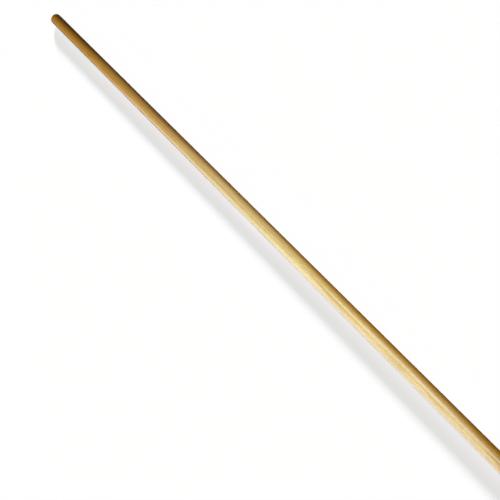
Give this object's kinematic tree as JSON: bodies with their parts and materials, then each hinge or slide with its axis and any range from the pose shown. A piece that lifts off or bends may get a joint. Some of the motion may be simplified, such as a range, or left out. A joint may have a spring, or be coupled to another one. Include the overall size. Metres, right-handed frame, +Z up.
{
  "type": "roller extension pole",
  "caption": "Long round lacquered wooden extension pole for a paint roller, rounded at one end, with a cast metal screw-thread tip at the other.",
  "frame": {"origin": "on the floor that the pole lies on, under the pole's axis, half way along its length", "axes": "+X along the pole towards the screw thread, +Y towards the left nail, +Z up"},
  "size_m": [1.524, 0.0254, 0.0254],
  "materials": {
    "lacquered_wood": "straight-grained pale hardwood under an amber satin lacquer",
    "cast_zinc": "die-cast zinc alloy, tumbled, dull satin grey",
    "nail_steel": "plain bright steel wire nail"
  },
  "bodies": {
    "root": {"pole_shaft": "lacquered_wood", "threaded_tip": "cast_zinc", "retaining_nail_left": "nail_steel", "retaining_nail_right": "nail_steel"}
  },
  "joints": []
}
